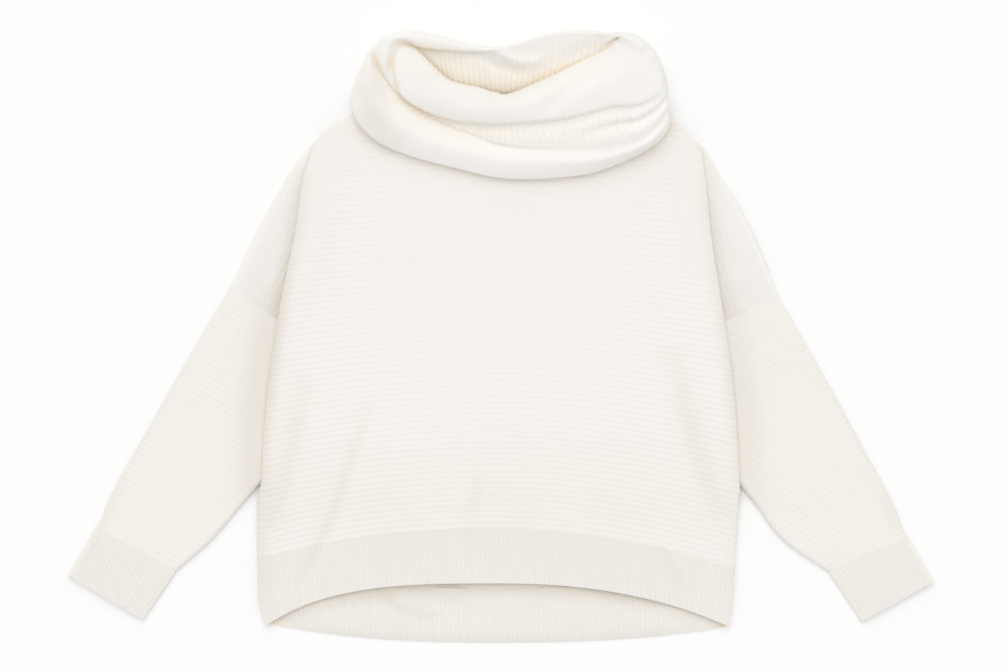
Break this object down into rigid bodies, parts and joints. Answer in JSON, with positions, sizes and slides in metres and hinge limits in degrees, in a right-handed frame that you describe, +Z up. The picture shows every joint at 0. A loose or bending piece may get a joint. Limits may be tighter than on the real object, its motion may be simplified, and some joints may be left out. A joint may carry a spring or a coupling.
{
  "type": "cowl neck pullover sweater",
  "caption": "Oversized rib-knit pullover with a large scrunched cowl collar, dropped shoulders and a curved high-low hem, laid flat on its back.",
  "frame": {"origin": "middle of the footprint, on the surface that the garment lies on", "axes": "+X to the right as one looks down on the front, from cuff to cuff; +Y towards the neck; +Z up, out of the front"},
  "size_m": [1.0414, 0.7375, 0.0541],
  "materials": {
    "front_panel": "soft matte rib knit",
    "back_panel": "soft matte rib knit",
    "hem_band_front": "soft matte rib knit",
    "hem_band_back": "soft matte rib knit",
    "sleeve_left": "soft matte rib knit",
    "sleeve_right": "soft matte rib knit",
    "cuff_left": "soft matte rib knit",
    "cuff_right": "soft matte rib knit",
    "collar": "soft matte rib knit"
  },
  "bodies": {
    "root": {"front_panel": "front_panel", "back_panel": "back_panel", "hem_band_front": "hem_band_front", "hem_band_back": "hem_band_back", "sleeve_left": "sleeve_left", "sleeve_right": "sleeve_right", "cuff_left": "cuff_left", "cuff_right": "cuff_right", "collar": "collar"}
  },
  "joints": []
}
